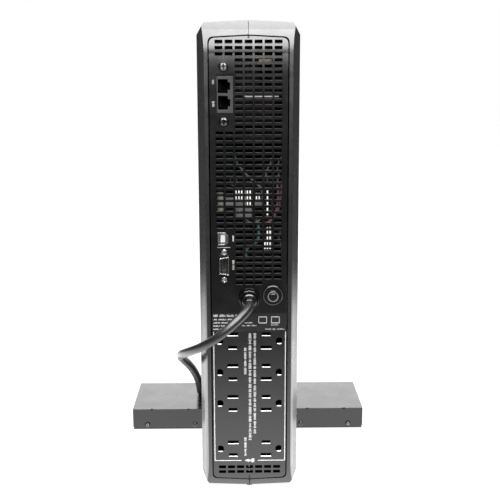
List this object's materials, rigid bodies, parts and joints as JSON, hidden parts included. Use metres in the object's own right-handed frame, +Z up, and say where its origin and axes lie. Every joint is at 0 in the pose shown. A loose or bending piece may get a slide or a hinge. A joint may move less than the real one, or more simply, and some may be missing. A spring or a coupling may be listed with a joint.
{
  "type": "uninterruptible power supply",
  "caption": "Slim upright battery backup unit on a two-winged stand, with a vented socket panel, data ports, breaker, mains lead, turning display and battery door.",
  "frame": {"origin": "centre of the footprint, on the ground, measured without the mains lead", "axes": "+Z up, socket panel faces -Y, display faces +Y, +X to the right when looking at the socket panel"},
  "size_m": [0.2516, 0.4408, 0.4277],
  "materials": {
    "shell_black": "satin moulded plastic",
    "panel_black": "satin moulded plastic",
    "stand_black": "fine powder coat",
    "moulding_black": "moulded",
    "moulding_grey": "moulded",
    "rubber_black": "matt",
    "cord_jacket": "satin vinyl jacket",
    "bright_steel": "nickel plate",
    "brass": "stamped",
    "aluminium": "extruded",
    "core_steel": "stacked laminations, varnished",
    "winding_tape": "yellow wrapping tape",
    "circuit_board": "solder mask",
    "battery_case": "moulded",
    "moulding_white": "moulded",
    "display_lens": "clear acrylic over a dark display"
  },
  "bodies": {
    "case": {"left_shell": "shell_black", "right_shell": "shell_black", "front_bezel": "shell_black", "control_board": "circuit_board", "rear_panel": "panel_black", "socket_block_left": "moulding_black", "socket_block_right": "moulding_black", "socket_bus_left": "brass", "socket_bus_right": "brass", "network_jack": "moulding_grey", "panel_screw_1": "bright_steel", "panel_screw_2": "bright_steel", "usb_shell": "bright_steel", "usb_tongue": "moulding_white", "serial_shell": "bright_steel", "serial_insert": "moulding_black", "serial_screw_1": "bright_steel", "serial_screw_2": "bright_steel", "interface_board": "circuit_board", "breaker_body": "moulding_black", "cord_gland": "moulding_black", "power_cord": "cord_jacket", "cord_tail": "cord_jacket", "cord_coil": "cord_jacket", "cord_tie": "rubber_black", "plug_body": "cord_jacket", "plug_blade_neutral": "brass", "plug_blade_line": "brass", "plug_ground_pin": "brass", "stand_base": "stand_black", "stand_wing_left": "stand_black", "stand_wing_right": "stand_black", "stand_screw_left_1": "bright_steel", "stand_screw_left_2": "bright_steel", "stand_screw_right_1": "bright_steel", "stand_screw_right_2": "bright_steel", "stand_pad_left": "rubber_black", "stand_pad_right": "rubber_black", "rear_foot": "rubber_black", "battery_lower": "battery_case", "battery_upper": "battery_case", "battery_cradle": "stand_black", "transformer_core": "core_steel", "transformer_winding": "winding_tape", "transformer_bracket": "bright_steel", "main_board": "circuit_board", "heat_sink_upper": "aluminium", "heat_sink_lower": "aluminium", "capacitor_1": "battery_case", "capacitor_2": "battery_case", "relay": "moulding_white", "relay_board": "circuit_board"},
    "door": {"battery_door": "shell_black"},
    "display": {"display_housing": "moulding_black", "display_window": "display_lens"},
    "power_key": {"power_button": "moulding_grey"},
    "mute_key": {"mute_button": "moulding_grey"},
    "scroll_key": {"scroll_button": "moulding_grey"},
    "breaker_key": {"breaker_button": "moulding_black"}
  },
  "joints": [
    {"name": "door_tilt", "type": "hinge", "parent": "case", "child": "door", "pos_m": [0, 0.1185, 0.032], "axis": [-1, 0, 0], "range_deg": [0, 75]},
    {"name": "display_turn", "type": "hinge", "parent": "case", "child": "display", "pos_m": [0, 0.1185, 0.338], "axis": [0, 1, 0], "range_deg": [0, 90]},
    {"name": "power_press", "type": "slide", "parent": "case", "child": "power_key", "axis": [0, -1, 0], "range_m": [0, 0.0012], "stiffness_N_per_m": 400},
    {"name": "mute_press", "type": "slide", "parent": "case", "child": "mute_key", "axis": [0, -1, 0], "range_m": [0, 0.0012], "stiffness_N_per_m": 400},
    {"name": "scroll_press", "type": "slide", "parent": "case", "child": "scroll_key", "axis": [0, -1, 0], "range_m": [0, 0.0012], "stiffness_N_per_m": 400},
    {"name": "breaker_trip", "type": "slide", "parent": "case", "child": "breaker_key", "axis": [0, -1, 0], "range_m": [0, 0.004]}
  ]
}
